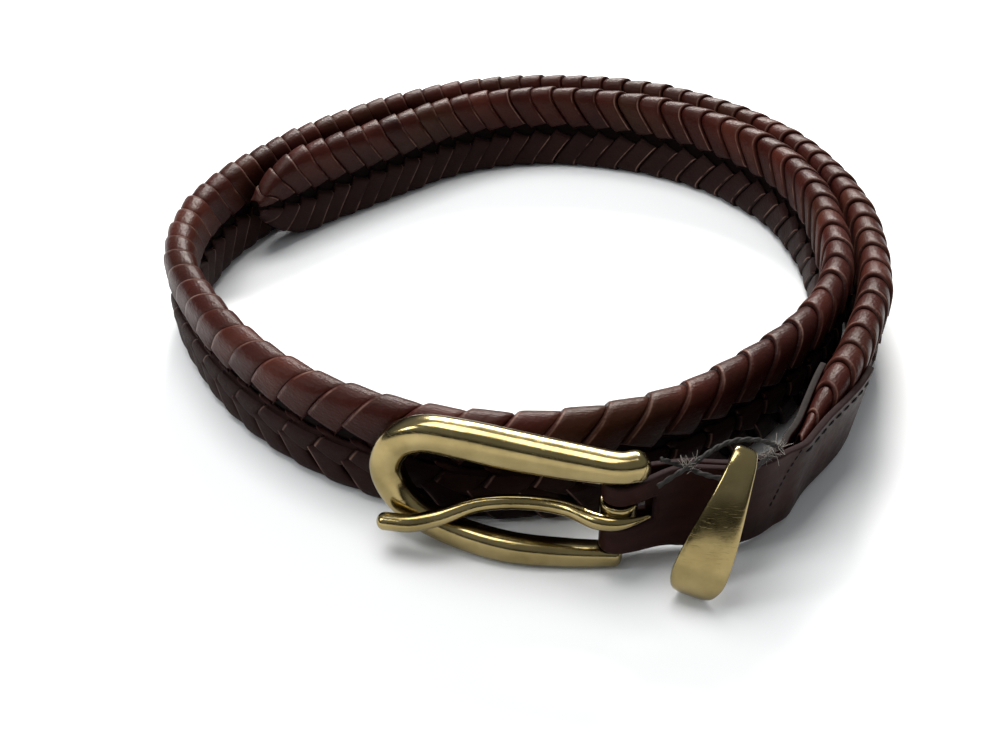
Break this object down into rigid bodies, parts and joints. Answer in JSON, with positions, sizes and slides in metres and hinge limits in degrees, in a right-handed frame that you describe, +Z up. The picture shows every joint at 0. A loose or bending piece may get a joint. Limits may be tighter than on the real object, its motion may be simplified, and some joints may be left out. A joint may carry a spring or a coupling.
{
  "type": "braided belt",
  "caption": "Braided leather belt coiled on its edge, with a folded leather chape, a hinged brass buckle and prong, a loose brass keeper and a thread tie.",
  "frame": {"origin": "middle of the coiled belt without its thread, on the surface it stands on", "axes": "+Z up out of the coil, across the strap's width; +X to the right; the buckle is at -Y, the front"},
  "size_m": [0.2278, 0.268, 0.0374],
  "materials": {
    "braided_leather": "glossy dark red-brown, darker between the strands",
    "plain_leather": "satin dark brown with pale cut edges",
    "brass": "polished, pale gold, finely scratched",
    "waxed_thread": "waxed, twisted, dark grey"
  },
  "bodies": {
    "leather": {"braided_strap": "braided_leather", "chape": "plain_leather", "keeper": "brass", "thread_over": "waxed_thread", "thread_through": "waxed_thread"},
    "frame": {"buckle_frame": "brass"},
    "prong": {"prong": "brass"}
  },
  "joints": [
    {"name": "frame_hinge", "type": "hinge", "parent": "leather", "child": "frame", "pos_m": [0.01951, -0.117, 0.018], "axis": [0, 0, 1], "range_deg": [0, 70]},
    {"name": "prong_hinge", "type": "hinge", "parent": "frame", "child": "prong", "pos_m": [0.01951, -0.117, 0.018], "axis": [0, 0, 1], "range_deg": [0, 45]}
  ]
}
